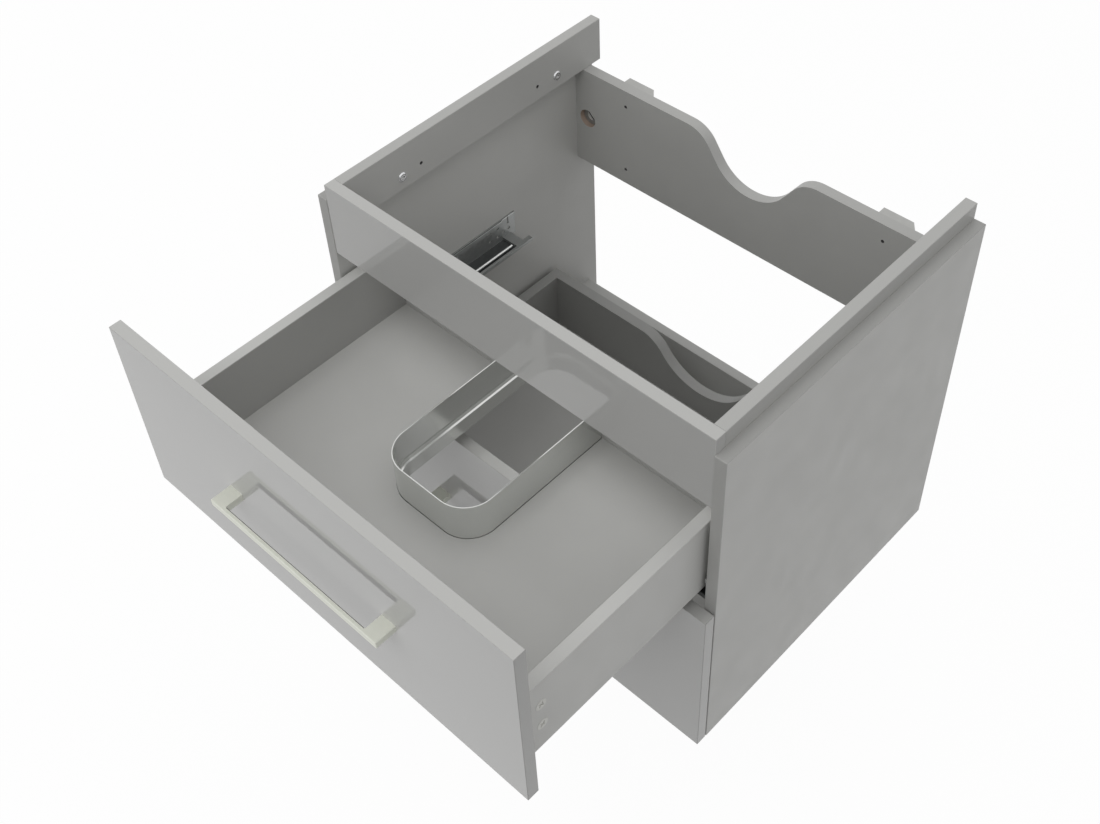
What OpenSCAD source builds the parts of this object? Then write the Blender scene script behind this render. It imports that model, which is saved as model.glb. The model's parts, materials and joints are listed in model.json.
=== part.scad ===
// Wall-hung vanity base unit for a basin, with two handled drawers.
// The wall plane is y = 0 and the room is towards -Y. The middle of the width is x = 0.
// The undersides of the side panels are z = 0. The upper drawer is drawn pulled out.

/* [Carcass] */
// Outer width over both side panels
cabinet_w = 640; // [560:10:900]
// Depth of the side panels from the wall to their front edges
cabinet_d = 482.5; // [470:0.5:560]
// Thickness of the carcass, front and drawer boards
board_t = 16; // [15:0.5:18]
// Height of the two strips that carry the basin
strip_h = 66; // [56:1:80]
// How far the strips stand above the side panels
strip_rise = 23.5; // [10:0.5:30]
// Height of the front rail
front_rail_h = 111.5; // [90:0.5:120]
// Setback of the front rail behind the side panels' front edges
front_rail_setback = 1; // [0:0.5:4]
// Height of the upper back rail at its ends
back_rail_h = 161; // [150:1:180]
// Space between the back rails and the wall
back_recess = 19; // [17:0.5:24]
// Height of the lower back rail
lower_rail_h = 67; // [50:1:80]
// Bevel on the edges of the boards
edge_bevel = 0.6; // [0.3:0.1:1.2]

/* [Fronts] */
// Height of the lower drawer front
lower_front_h = 274.5; // [260:0.5:300]
// Height of the upper drawer front
upper_front_h = 270; // [260:1:300]
// Gap between the two fronts
front_reveal = 3.5; // [2:0.5:5]
// Underside of the lower front above the side panels' undersides
front_lift = 1; // [0:0.5:3]
// Gap between a closed front and the side panels
front_gap = 1.5; // [1:0.25:3]
// How far the upper front reaches above the side panels
front_overreach = 2; // [0:0.5:6]

/* [Drawer boxes] */
// Depth of the boxes behind their fronts
box_d = 386; // [340:1:400]
// Height of the box sides
box_h = 121.5; // [110:0.5:130]
// Running gap between a box side and the cabinet side
box_gap = 7; // [6:0.5:9]
// Upper box bottom above the underside of its front
upper_box_lift = 23; // [20:1:30]
// Lower box bottom above the underside of its front
lower_box_lift = 45; // [40:1:55]
// Thickness of the drawer floors
floor_t = 8; // [6:0.5:10]
// Underside of a drawer floor above the box bottom
floor_recess = 15; // [14:0.5:18]
// How far the upper drawer is pulled out
upper_open = 289; // [0:1:289]

/* [Trap slot] */
// Width of the slot in the upper drawer
slot_w = 150; // [120:1:180]
// Distance of the slot's closed end behind the upper front
slot_setback = 142.5; // [120:0.5:170]
// Radius of the slot's two corners
slot_r = 42; // [20:1:55]
// Height of the metal band above the drawer floor
band_rise = 57.5; // [30:0.5:80]
// Thickness of the metal band
band_t = 1.2; // [0.8:0.1:2]
// Thickness of the band's foot, inside the slot
band_foot_t = 5.5; // [3:0.1:7]
// How far the foot reaches below the underside of the drawer floor
band_drop = 8.5; // [4:0.5:13]
// Gap between the band and the drawer floor
band_gap = 0.6; // [0.2:0.1:0.9]

/* [Drain dips] */
// Depth of the dip in the upper back rail
rail_dip_d = 69; // [50:1:80]
// Distance of the rail's dip to the right of the middle
rail_dip_x = 4.5; // [-20:0.5:20]
// Radius in the floor of the rail's dip
rail_valley_r = 66; // [55:1:70]
// Radius on the shoulders of the rail's dip
rail_shoulder_r = 44; // [36:1:48]
// Steepest slope of the rail's dip in degrees
rail_dip_slope = 55; // [50:1:60]
// Depth of the dip in the lower drawer's back
drawer_dip_d = 56.5; // [50:0.5:65]
// Radius in the floor of the drawer's dip
drawer_valley_r = 88; // [70:1:92]
// Radius on the shoulders of the drawer's dip
drawer_shoulder_r = 49; // [40:1:52]
// Steepest slope of the drawer's dip in degrees
drawer_dip_slope = 50; // [42:1:52]

/* [Handles] */
// Hole spacing of a handle
handle_spacing = 256; // [160:32:320]
// Width of a handle's feet
handle_foot_w = 21.5; // [16:0.5:26]
// Height of a handle
handle_h = 10; // [8:0.5:14]
// How far a handle stands out from its front
handle_reach = 28; // [24:0.5:36]
// Thickness of a handle's bar
handle_bar_t = 5; // [4:0.5:8]
// Distance of a handle below the middle of its front
handle_drop = 2; // [0:1:40]

/* [Runners] */
// Length of the runners
runner_l = 308; // [296:1:330]
// Thickness of the runners' sheet steel
runner_t = 1.5; // [1:0.1:1.8]
// Height of a runner's wall flange above the box bottom
flange_up = 26; // [22:1:34]
// Depth of a runner's base below the box bottom
flange_down = 13.5; // [12:0.5:16]
// Width of a runner's base
runner_base_w = 33.5; // [30:0.5:36]

/* [Hidden] */
$fn = 48;

// Overrun of every cut past the face that it opens
cut = 1;
// Radial running clearance of dowels, bolts and screws in their bores
fit = 0.05;
// Clearance between pieces that slide on each other
slide_gap = 0.3;

// Carcass places
side_x = cabinet_w / 2;
inner_x = side_x - board_t;
front_y = -cabinet_d;
side_h = front_lift + lower_front_h + front_reveal + upper_front_h - front_overreach;
top_z = side_h + strip_rise;
strip_z = top_z - strip_h;
rail_front_y = front_y + front_rail_setback;
rail_z = top_z - front_rail_h;
back_y = -back_recess - board_t;
back_rail_z = strip_z - back_rail_h;

// Places on the boards: screws, pilot holes and access holes
strip_screw_front = 109;
strip_screw_rear = 88;
strip_screw_down = 47;
strip_pilot_front = 142;
strip_pilot_rear = 126;
strip_pilot_down = 44;
rail_pilot_x = 210;
rail_pilot_down = 26;
rail_pilot_pitch = 110;
pilot_r = 2.4;
strip_pilot_depth = 12;
access_inset = 22;
access_down = 81;
access_r = 14;

// The band's foot above the drawer floor, and the two slants from the foot up to the band, which
// meet at a share of their width and of their height
band_foot_rise = 7;
band_slant_h = 4.1;
band_slant_in_share = 0.53;
band_slant_up_share = 0.34;

// Facets in each shoulder of a dip
dip_steps = 12;

// Wood dowels
dowel_r = 4;
dowel_l = 30;
dowel_in_side = 11;
dowel_tip = 1;
dowel_inset = 20;
low_dowel_inset = 15;
dowel_pitch = 40;
back_rail_dowel_pitch = 80;
bottom_dowel_shares = [0.25, 0.5, 0.75];
back_dowel_shares = [0.27, 0.54];

// Pan-head screws
screw_r = 2;
screw_head_r = 4.3;
screw_head_h = 2.4;
short_screw_l = 12;
recess_w = 1;
recess_l = 4.4;
recess_d = 1.2;

// Screws of the strips: wide flat heads with hexagon sockets
strip_screw_r = 3;
strip_screw_l = 26;
strip_head_r = 7;
strip_head_h = 1.8;
strip_head_bevel = 1.2;
socket_r = 3;
socket_d = 1.4;
socket_sides = 6;

// Drawer places
upper_front_z = front_lift + lower_front_h + front_reveal;
closed_y = front_y - front_gap;
upper_y = closed_y - upper_open;
lower_y = closed_y;
upper_box_z = upper_front_z + upper_box_lift;
lower_box_z = front_lift + lower_box_lift;
box_x = inner_x - box_gap;
box_inner_x = box_x - board_t;
floor_top = floor_recess + floor_t;
groove_d = 6;
middle_share = 0.5;

// Cam fittings that hold the fronts
cam_r = 7.5;
cam_h = 12.5;
cam_setback = 33.5;
cam_low = 42;
cam_pitch = 38;
cam_proud = 0.3;
bolt_r = 3.5;
bolt_head_r = 4.2;
bolt_head_l = 3;
bolt_in_front = 10;

// Handle fixings
handle_screw_r = 2;
handle_screw_in = 9;
handle_round = 1.5;
handle_bevel = 0.7;

// Hangers behind the upper back rail
hanger_w = 34;
hanger_l = 62;
hanger_d = 15;
hanger_wall = 2;
hanger_hook_w = 22;
hanger_hook_t = 2.5;
hanger_hook_h = 12;
hanger_hook_lip = 3;
hanger_bridge_in = 5;
hanger_bridge_t = 3;
hanger_boss_clear = 0.5;
hanger_boss_setback = 7.5;
hanger_screw_r = 3;
hanger_screw_head_r = 7;
hanger_screw_head_t = 4;
hanger_screw_head_clear = 0.4;
hanger_screw_slot_w = 2.2;
hanger_screw_slot_d = 2;

// Light blocks on the rear of the upper back rail
spacer_w = 52;
spacer_d = 11.5;
spacer_h = 44;
spacer_slant = 9;
spacer_left_inset = 78;
spacer_right_inset = 114;

// Runner parts
runner_setback = 2;
lip_inset = 5.5;
lip_down = 1.5;
lip_short = 33;
bead_r = 1.5;
hem_d = 1.6;
hem_h = 8;
hem_short = 26;
groove_gap = 1.5;
edge_h = 5.5;
plate_l = 24;
notch_l = 10;
hook_l = 2.5;
hook_w = 7;
stop_h = 7;
slide_l = 300;
slide_leg_clear = 0.1;
slide_inset = 2;
middle_end_gap = 4;
middle_l = runner_l - plate_l - middle_end_gap;
middle_t = 1.2;
middle_h = 7;
middle_inset = 14.5;
middle_side_gap = 1.5;
glide_l = 26;
glide_inset = 18;
flange_hole_r = 2.6;
flange_slot_w = 3;
flange_slot_l = 12;
flange_long_l = 9;
flange_screw_up = 12;
flange_screw_shares = [0.23, 0.425, 0.62];
flange_slot_share = [0.046, 0.45];
flange_long_share = [0.168, 0.5];
flange_hole_shares = [[0.0425, 0.09], [0.076, 0.04], [0.114, 0.57], [0.114, -0.04], [0.164, 0.01]];
slide_screw_up = 7;
slide_screw_in = 40;

// A rectangle with bevelled corners, and a board with bevelled edges, from the origin
module bevelled_square(size, e) {
  polygon([
    [e, 0], [size[0] - e, 0], [size[0], e], [size[0], size[1] - e],
    [size[0] - e, size[1]], [e, size[1]], [0, size[1] - e], [0, e]
  ]);
}

module board(size, e = edge_bevel) {
  intersection() {
    linear_extrude(size[2]) bevelled_square([size[0], size[1]], e);
    translate([0, size[1], 0]) rotate([90, 0, 0]) linear_extrude(size[1])
      bevelled_square([size[0], size[2]], e);
    rotate([90, 0, 90]) linear_extrude(size[0]) bevelled_square([size[1], size[2]], e);
  }
}

// Cylinders along X and Y, from a point towards the positive side
module rod_x(r, l) { rotate([0, 90, 0]) cylinder(r = r, h = l); }
module rod_y(r, l) { rotate([-90, 0, 0]) cylinder(r = r, h = l); }

// Draws a piece on the left and its mirror image on the right
module both_sides() {
  children();
  mirror([1, 0, 0]) children();
}

// Outline of a back with a dip for the drain: flat top, rounded shoulders, round valley
function arc(cx, cz, r, from, to, steps) = [
  for (i = [0:steps]) let (a = from + (to - from) * i / steps) [cx + r * cos(a), cz + r * sin(a)]
];
function dip_half(depth, valley, shoulder, slope) =
  (valley + shoulder) * sin(slope) + (depth - (valley + shoulder) * (1 - cos(slope))) / tan(slope);
function dip_curve(x, z, depth, valley, shoulder, slope) =
  let (half = dip_half(depth, valley, shoulder, slope))
    concat(
      arc(x - half, z - shoulder, shoulder, 90, 90 - slope, dip_steps),
      arc(x, z - depth + valley, valley, 270 - slope, 270 + slope, 2 * dip_steps),
      arc(x + half, z - shoulder, shoulder, 90 + slope, 90, dip_steps)
    );

// A board standing across the cabinet with a dip's curve in its top edge, its front face at y = 0
module dipped_board(half, h, curve) {
  rotate([90, 0, 0]) translate([0, 0, -board_t]) linear_extrude(board_t)
    polygon(concat([[-half, 0], [-half, h]], curve, [[half, h], [half, 0]]));
}

// A screw with a pan head and a cross recess, its head's seat at x = 0, pointing towards -X
module pan_screw(length) {
  difference() {
    union() {
      rod_x(screw_head_r, screw_head_h);
      translate([-length, 0, 0]) rod_x(screw_r, length + screw_head_h / 2);
    }
    for (turn = [0, 90])
      translate([screw_head_h - recess_d, 0, 0]) rotate([turn, 0, 0])
        translate([0, -recess_l / 2, -recess_w / 2]) cube([recess_d + cut, recess_l, recess_w]);
  }
}

// A screw with a wide bevelled head and a hexagon socket, its head's seat at x = 0, pointing towards -X
module wide_screw() {
  difference() {
    union() {
      rotate([0, 90, 0]) cylinder(r1 = strip_head_r, r2 = strip_head_r - strip_head_bevel, h = strip_head_h);
      translate([-strip_screw_l, 0, 0]) rod_x(strip_screw_r, strip_screw_l + strip_head_h - socket_d);
    }
    translate([strip_head_h - socket_d, 0, 0]) rotate([0, 90, 0])
      cylinder(r = socket_r, h = socket_d + cut, $fn = socket_sides);
  }
}

// A wood dowel with chamfered tips, lying along +X from its outer end
module dowel() {
  translate([dowel_l / 2, 0, 0]) rotate([0, 90, 0]) rotate_extrude()
    polygon([
      [0, -dowel_l / 2], [dowel_r - dowel_tip, -dowel_l / 2], [dowel_r, dowel_tip - dowel_l / 2],
      [dowel_r, dowel_l / 2 - dowel_tip], [dowel_r - dowel_tip, dowel_l / 2], [0, dowel_l / 2]
    ]);
}

// Where dowels cross from the side panels into the rails and the bottom, as [y, z]
CARCASS_DOWELS = concat(
  [for (i = [0:1]) [rail_front_y + board_t / 2, rail_z + dowel_inset + i * dowel_pitch]],
  [for (i = [0:1]) [back_y + board_t / 2, back_rail_z + dowel_inset + i * back_rail_dowel_pitch]],
  [for (i = [0:1]) [back_y + board_t / 2, board_t + low_dowel_inset + i * dowel_pitch]],
  [for (s = bottom_dowel_shares) [front_y * s, board_t / 2]]
);
STRIP_SCREWS = [
  [front_y + strip_screw_front, top_z - strip_screw_down],
  [-strip_screw_rear, top_z - strip_screw_down]
];
STRIP_PILOTS = [
  [front_y + strip_pilot_front, top_z - strip_pilot_down],
  [-strip_pilot_rear, top_z - strip_pilot_down]
];
RUNNER_SCREWS = [for (s = flange_screw_shares) front_y + runner_setback + runner_l * s];

module dowel_bores() {
  for (p = CARCASS_DOWELS)
    translate([-inner_x - dowel_in_side - fit, p[0], p[1]])
      rod_x(dowel_r + fit, dowel_l + 2 * fit);
}

module side_panel() {
  difference() {
    translate([-side_x, front_y, 0]) board([board_t, cabinet_d, side_h]);
    dowel_bores();
    for (p = STRIP_SCREWS)
      translate([-inner_x - strip_screw_l + board_t - fit, p[0], p[1]])
        rod_x(strip_screw_r + fit, strip_screw_l - board_t + fit + cut);
    for (z = [upper_box_z, lower_box_z]) for (y = RUNNER_SCREWS)
      translate([-inner_x - short_screw_l - fit, y, z + flange_screw_up])
        rod_x(screw_r + fit, short_screw_l + fit + cut);
  }
}

module side_panel_left() { color("#b4b4b2") side_panel(); }
module side_panel_right() { color("#b4b4b2") mirror([1, 0, 0]) side_panel(); }

module top_strip() {
  strip_y = rail_front_y + board_t;
  difference() {
    translate([-inner_x, strip_y, strip_z]) board([board_t, -strip_y, strip_h]);
    for (p = STRIP_SCREWS)
      translate([-inner_x - cut, p[0], p[1]]) rod_x(strip_screw_r + fit, board_t + 2 * cut);
    for (p = STRIP_PILOTS)
      translate([-inner_x + board_t - strip_pilot_depth, p[0], p[1]])
        rod_x(pilot_r, strip_pilot_depth + cut);
  }
}

module top_strip_left() { color("#a9a9a6") top_strip(); }
module top_strip_right() { color("#a9a9a6") mirror([1, 0, 0]) top_strip(); }

module front_rail() {
  color("#b9b9b7") difference() {
    translate([-inner_x, rail_front_y, rail_z]) board([2 * inner_x, board_t, front_rail_h]);
    both_sides() dowel_bores();
  }
}

module back_rail() {
  color("#8c8c88") difference() {
    translate([0, back_y, back_rail_z])
      dipped_board(inner_x, back_rail_h, dip_curve(rail_dip_x, back_rail_h, rail_dip_d,
        rail_valley_r, rail_shoulder_r, rail_dip_slope));
    both_sides() dowel_bores();
    both_sides() {
      translate([-inner_x + access_inset, back_y - cut, strip_z - access_down])
        rod_y(access_r, board_t + 2 * cut);
      for (i = [0:1])
        translate([-rail_pilot_x, back_y - cut, strip_z - rail_pilot_down - i * rail_pilot_pitch])
          rod_y(pilot_r, board_t + 2 * cut);
    }
  }
}

module lower_back_rail() {
  color("#8c8c88") difference() {
    translate([-inner_x, back_y, board_t]) board([2 * inner_x, board_t, lower_rail_h]);
    both_sides() dowel_bores();
  }
}

module bottom_panel() {
  color("#9c9c99") difference() {
    translate([-inner_x, front_y, 0]) board([2 * inner_x, cabinet_d, board_t]);
    both_sides() dowel_bores();
  }
}

module carcass_dowels() {
  color("#c9a877") both_sides() for (p = CARCASS_DOWELS)
    translate([-inner_x - dowel_in_side, p[0], p[1]]) dowel();
}

module strip_screws() {
  color("silver") both_sides() for (p = STRIP_SCREWS)
    translate([-inner_x + board_t, p[0], p[1]]) wide_screw();
}

// A cabinet hanger: folded steel case with a round boss that stands in the access hole, a bridge
// inside that carries the adjusting screw, and a hook at the top that reaches over the wall plate
module hanger() {
  hook_x = (hanger_w - hanger_hook_w) / 2;
  boss_h = board_t - hanger_boss_setback;
  hole_r = hanger_screw_head_r + hanger_screw_head_clear;
  translate([-inner_x + access_inset - hanger_w / 2, -back_recess, strip_z - access_down - hanger_l / 2]) {
    difference() {
      union() {
        cube([hanger_w, hanger_d, hanger_l]);
        translate([hanger_w / 2, -boss_h, hanger_l / 2])
          rod_y(access_r - hanger_boss_clear, boss_h + hanger_wall);
      }
      translate([hanger_wall, hanger_wall, hanger_wall])
        cube([hanger_w - 2 * hanger_wall, hanger_d, hanger_l - 2 * hanger_wall]);
      translate([hanger_w / 2, -boss_h - cut, hanger_l / 2]) rod_y(hole_r, boss_h + hanger_wall + 2 * cut);
    }
    difference() {
      translate([0, hanger_bridge_in, hanger_wall])
        cube([hanger_w, hanger_bridge_t, hanger_l - 2 * hanger_wall]);
      translate([hanger_w / 2, 0, hanger_l / 2]) rod_y(hanger_screw_r + fit, hanger_d);
    }
    translate([hook_x, hanger_d - hanger_hook_t, hanger_l - hanger_wall])
      cube([hanger_hook_w, hanger_hook_t, hanger_hook_h + hanger_wall]);
    translate([hook_x, hanger_d - hanger_hook_t, hanger_l + hanger_hook_h])
      cube([hanger_hook_w, hanger_hook_lip + hanger_hook_t, hanger_hook_t]);
  }
}

module hanger_left() { color("#a8acac") hanger(); }
module hanger_right() { color("#a8acac") mirror([1, 0, 0]) hanger(); }

// The adjusting screw of each hanger, its slotted head just inside the boss
module hanger_screws() {
  head_y = back_y + hanger_boss_setback + hanger_screw_head_clear;
  color("#8d9191") both_sides()
    translate([-inner_x + access_inset, head_y, strip_z - access_down]) difference() {
      union() {
        rod_y(hanger_screw_head_r, hanger_screw_head_t);
        rod_y(hanger_screw_r, hanger_d - back_recess - head_y);
      }
      rotate([0, 45, 0]) translate([-hanger_screw_head_r - cut, -cut, -hanger_screw_slot_w / 2])
        cube([2 * (hanger_screw_head_r + cut), cut + hanger_screw_slot_d, hanger_screw_slot_w]);
    }
}

// A block on the rear of the upper back rail, flush with its top, with one slanted end
module spacer_block(x) {
  translate([x, -back_recess, strip_z - spacer_h]) linear_extrude(spacer_h)
    polygon([[0, 0], [spacer_w, 0], [spacer_w - spacer_slant, spacer_d], [0, spacer_d]]);
}

module spacer_block_left() { color("#d8d8d4") spacer_block(spacer_left_inset - inner_x); }
module spacer_block_right() { color("#d8d8d4") spacer_block(inner_x - spacer_right_inset); }

// The punched holes near one end of a wall flange, towards the middle of the runner
module flange_holes(box_z, end_y, way) {
  for (s = flange_hole_shares)
    translate([-cut, end_y + way * runner_l * s[0], box_z + flange_up * s[1]])
      rod_x(flange_hole_r, runner_t + 2 * cut);
  translate([-cut, end_y + way * runner_l * flange_slot_share[0] - flange_slot_w / 2,
      box_z + flange_up * flange_slot_share[1]])
    cube([runner_t + 2 * cut, flange_slot_w, flange_slot_l]);
  translate([-cut, end_y + way * runner_l * flange_long_share[0] - flange_long_l / 2,
      box_z + flange_up * flange_long_share[1]])
    cube([runner_t + 2 * cut, flange_long_l, flange_slot_w]);
}

// The cabinet member of a runner on the left side panel: wall flange with a hem, a trough between
// the flange and a lip with a bead, a low wall across its front end beside the flange, a folded
// outer edge, and a raised rear plate with a hook
module runner(box_z) {
  y0 = front_y + runner_setback;
  y1 = y0 + runner_l;
  base_z = box_z - flange_down;
  plate_z = base_z + edge_h - runner_t;
  lip_x = runner_base_w - lip_inset;
  trough_l = runner_l - plate_l;
  translate([-inner_x, 0, 0]) difference() {
    union() {
      translate([0, y0, base_z]) cube([runner_t, runner_l, flange_down + flange_up]);
      translate([0, y0, box_z + flange_up - hem_h]) cube([runner_t + hem_d, runner_l - hem_short, hem_h]);
      translate([0, y0, base_z]) cube([runner_base_w, trough_l, runner_t]);
      translate([lip_x - runner_t, y0, base_z])
        cube([runner_t, runner_l - lip_short, flange_down - lip_down - bead_r]);
      translate([lip_x - runner_t / 2, y0, box_z - lip_down - bead_r])
        rod_y(bead_r, runner_l - lip_short);
      translate([runner_base_w - runner_t, y0, base_z]) cube([runner_t, runner_l + hook_l, edge_h]);
      translate([lip_x + groove_gap, y0, plate_z]) cube([lip_inset - groove_gap, trough_l, runner_t]);
      translate([0, y0, base_z]) cube([middle_inset - middle_side_gap, runner_t, stop_h]);
      translate([0, y0 + trough_l - runner_t, base_z]) cube([runner_base_w, runner_t, edge_h]);
      translate([0, y0 + trough_l - runner_t, plate_z])
        cube([runner_base_w, plate_l - notch_l + runner_t, runner_t]);
      translate([runner_base_w - hook_w, y1 - notch_l - cut, plate_z])
        cube([hook_w, notch_l + hook_l + cut, runner_t]);
    }
    for (y = RUNNER_SCREWS)
      translate([-cut, y, box_z + flange_screw_up]) rod_x(screw_r + fit, runner_t + 2 * cut);
    flange_holes(box_z, y0, 1);
    flange_holes(box_z, y1, -1);
  }
}

module upper_runner_left() { color("#b8bcbc") runner(upper_box_z); }
module upper_runner_right() { color("#b8bcbc") mirror([1, 0, 0]) runner(upper_box_z); }
module lower_runner_left() { color("#b8bcbc") runner(lower_box_z); }
module lower_runner_right() { color("#b8bcbc") mirror([1, 0, 0]) runner(lower_box_z); }

module runner_screws() {
  color("silver") both_sides() for (z = [upper_box_z, lower_box_z]) for (y = RUNNER_SCREWS)
    translate([-inner_x + runner_t, y, z + flange_screw_up]) pan_screw(short_screw_l + runner_t);
}

middle_w = runner_base_w - lip_inset - runner_t - middle_inset - middle_side_gap;

// The middle member of a runner: a channel that opens downwards over its glides
module middle_member(box_z, y) {
  translate([-inner_x + middle_inset, y, box_z - runner_t - slide_gap - middle_h]) difference() {
    cube([middle_w, middle_l, middle_h]);
    translate([middle_t, -cut, -cut])
      cube([middle_w - 2 * middle_t, middle_l + 2 * cut, middle_h - middle_t + cut]);
  }
}

// Plastic glides from the middle member's web down to the base, near both its ends
module glides(box_z, y) {
  base = box_z - flange_down + runner_t + slide_gap;
  top = box_z - runner_t - slide_gap - middle_t;
  both_sides() for (s = [glide_inset, middle_l - glide_inset - glide_l])
    translate([-inner_x + middle_inset + middle_t, y + s, base])
      cube([middle_w - 2 * middle_t, glide_l, top - base]);
}

// The drawer member of a runner: an angle under the box side, up to the drawer floor
module slide_member(box_z, y) {
  leg = floor_recess - slide_leg_clear;
  translate([-box_x, y, box_z - runner_t]) difference() {
    union() {
      translate([slide_inset, 0, 0]) cube([board_t + runner_t - slide_inset, slide_l, runner_t]);
      translate([board_t, 0, 0]) cube([runner_t, slide_l, runner_t + leg]);
    }
    for (s = [slide_screw_in, slide_l - slide_screw_in])
      translate([board_t - cut, s, runner_t + slide_screw_up]) rod_x(screw_r + fit, runner_t + 2 * cut);
  }
}

module slide_screws(box_z, y) {
  both_sides() for (s = [slide_screw_in, slide_l - slide_screw_in])
    translate([-box_inner_x + runner_t, y + s, box_z + slide_screw_up])
      pan_screw(short_screw_l + runner_t);
}

// A drawer front with bores for its cam bolts and handle screws, its back face at y = 0
module drawer_front(h, box_lift) {
  difference() {
    translate([-side_x, -board_t, 0]) board([cabinet_w, board_t, h]);
    both_sides() {
      for (i = [0:1])
        translate([-box_x + board_t / 2, -bolt_in_front - fit, box_lift + cam_low + i * cam_pitch])
          rod_y(bolt_r + fit, bolt_in_front + fit + cut);
      translate([-handle_spacing / 2, -board_t - cut, h / 2 - handle_drop])
        rod_y(handle_screw_r + fit, board_t + 2 * cut);
    }
  }
}

// A bow handle standing out from a front's face at y = 0, with blind screw holes in its feet
module handle() {
  half = (handle_spacing + handle_foot_w) / 2;
  inner = (handle_spacing - handle_foot_w) / 2;
  gap = handle_reach - handle_bar_t;
  difference() {
    intersection() {
      translate([-half, -handle_reach, -handle_h / 2])
        board([2 * half, handle_reach + handle_bevel, handle_h], handle_bevel);
      translate([-half, -handle_reach, -handle_h / 2]) cube([2 * half, handle_reach, handle_h]);
    }
    translate([0, 0, -handle_h / 2 - cut]) linear_extrude(handle_h + 2 * cut) {
      translate([-inner, -gap + handle_round]) square([2 * inner, gap + cut]);
      translate([-inner + handle_round, -gap]) square([2 * (inner - handle_round), gap]);
      for (side = [-1, 1])
        translate([side * (inner - handle_round), -gap + handle_round]) circle(handle_round);
    }
    both_sides() translate([-handle_spacing / 2, -handle_screw_in - fit, 0])
      rod_y(handle_screw_r + fit, handle_screw_in + fit + cut);
  }
}

module handle_screws() {
  both_sides() translate([-handle_spacing / 2, 0, 0]) rotate([0, 0, 90])
    pan_screw(board_t + handle_screw_in);
}

// One cam fitting in the outer face of a left box side, with its bolt's pocket
module cam() {
  difference() {
    translate([-cam_proud, 0, 0]) rod_x(cam_r, cam_h + cam_proud);
    for (turn = [45, 135])
      translate([-cam_proud - cut, 0, 0]) rotate([turn, 0, 0])
        translate([0, -recess_l, -recess_w])
          cube([recess_d + cut, 2 * recess_l, 2 * recess_w]);
    translate([board_t / 2, -cam_r - cut, 0]) rod_y(bolt_head_r + fit, cam_r + cut + bolt_head_l / 2 + fit);
  }
}

// The bolt of a cam fitting, from inside the front at y < 0 to its head inside the cam
module cam_bolt() {
  tip = cam_setback + bolt_head_l / 2;
  translate([0, -bolt_in_front, 0]) rod_y(bolt_r, bolt_in_front + tip - bolt_head_l / 2);
  translate([0, tip - bolt_head_l, 0]) rod_y(bolt_head_r, bolt_head_l);
}

CAM_PLACES = [for (i = [0:1]) cam_low + i * cam_pitch];

module cams(box_z, y) {
  both_sides() for (z = CAM_PLACES) translate([-box_x, y + cam_setback, box_z + z]) cam();
}

module cam_bolts(box_z, y) {
  both_sides() for (z = CAM_PLACES) translate([-box_x + board_t / 2, y, box_z + z]) cam_bolt();
}

BACK_DOWELS = [for (s = back_dowel_shares) floor_top + (box_h - floor_top) * s];

// A left box side with its floor groove, cam bores, bolt bores and dowel bores
module box_side(box_z, y) {
  translate([-box_x, y, box_z]) difference() {
    board([board_t, box_d, box_h]);
    translate([board_t - groove_d, -cut, floor_recess]) cube([groove_d + cut, box_d + 2 * cut, floor_t]);
    for (z = CAM_PLACES) {
      translate([-cut, cam_setback, z]) rod_x(cam_r + fit, cam_h + fit + cut);
      translate([board_t / 2, -cut, z]) rod_y(bolt_head_r + fit, cam_setback + cut);
    }
    for (z = BACK_DOWELS)
      translate([board_t - dowel_in_side - fit, box_d - board_t / 2, z])
        rod_x(dowel_r + fit, dowel_in_side + fit + cut);
    for (s = [slide_screw_in, slide_l - slide_screw_in])
      translate([board_t - short_screw_l - fit, s, slide_screw_up])
        rod_x(screw_r + fit, short_screw_l + fit + cut);
  }
}

module drawer_dowels(box_z, y) {
  both_sides() for (z = BACK_DOWELS)
    translate([-box_inner_x - dowel_in_side, y + box_d - board_t / 2, box_z + z]) dowel();
}

module back_dowel_bores() {
  both_sides() for (z = BACK_DOWELS)
    translate([-box_inner_x - cut, board_t / 2, z - floor_top])
      rod_x(dowel_r + fit, dowel_l - dowel_in_side + fit + cut);
}

// The slot's outline in plan, open to the rear, wider than the band by a gap all round
module slot_outline(gap, back) {
  half = slot_w / 2 + gap;
  r = slot_r + gap;
  front = slot_setback - gap;
  translate([-half, front + r]) square([2 * half, back - front - r]);
  translate([-half + r, front]) square([2 * (half - r), r + cut]);
  for (side = [-1, 1]) translate([side * (half - r), front + r]) circle(r);
}

// Section of the slot's band as [inwards, up]: a thick foot, two slants and a thin wall
BAND_FOOT_H = band_drop + floor_t + band_foot_rise;
BAND_H = band_drop + floor_t + band_rise;
BAND_SECTION = [
  [0, 0], [band_foot_t, 0], [band_foot_t, BAND_FOOT_H],
  [band_t + (band_foot_t - band_t) * band_slant_in_share, BAND_FOOT_H + band_slant_h * band_slant_up_share],
  [band_t, BAND_FOOT_H + band_slant_h], [band_t, BAND_H], [0, BAND_H]
];

module upper_front() {
  color("#bdbdbb") translate([0, upper_y, upper_front_z]) drawer_front(upper_front_h, upper_box_lift);
}

module upper_handle() {
  color("#c9cab9") translate([0, upper_y - board_t, upper_front_z + upper_front_h / 2 - handle_drop])
    handle();
}

module upper_handle_screws() {
  color("silver") translate([0, upper_y, upper_front_z + upper_front_h / 2 - handle_drop])
    handle_screws();
}

module upper_side_left() { color("#9d9d9a") box_side(upper_box_z, upper_y); }
module upper_side_right() { color("#9d9d9a") mirror([1, 0, 0]) box_side(upper_box_z, upper_y); }

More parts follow.
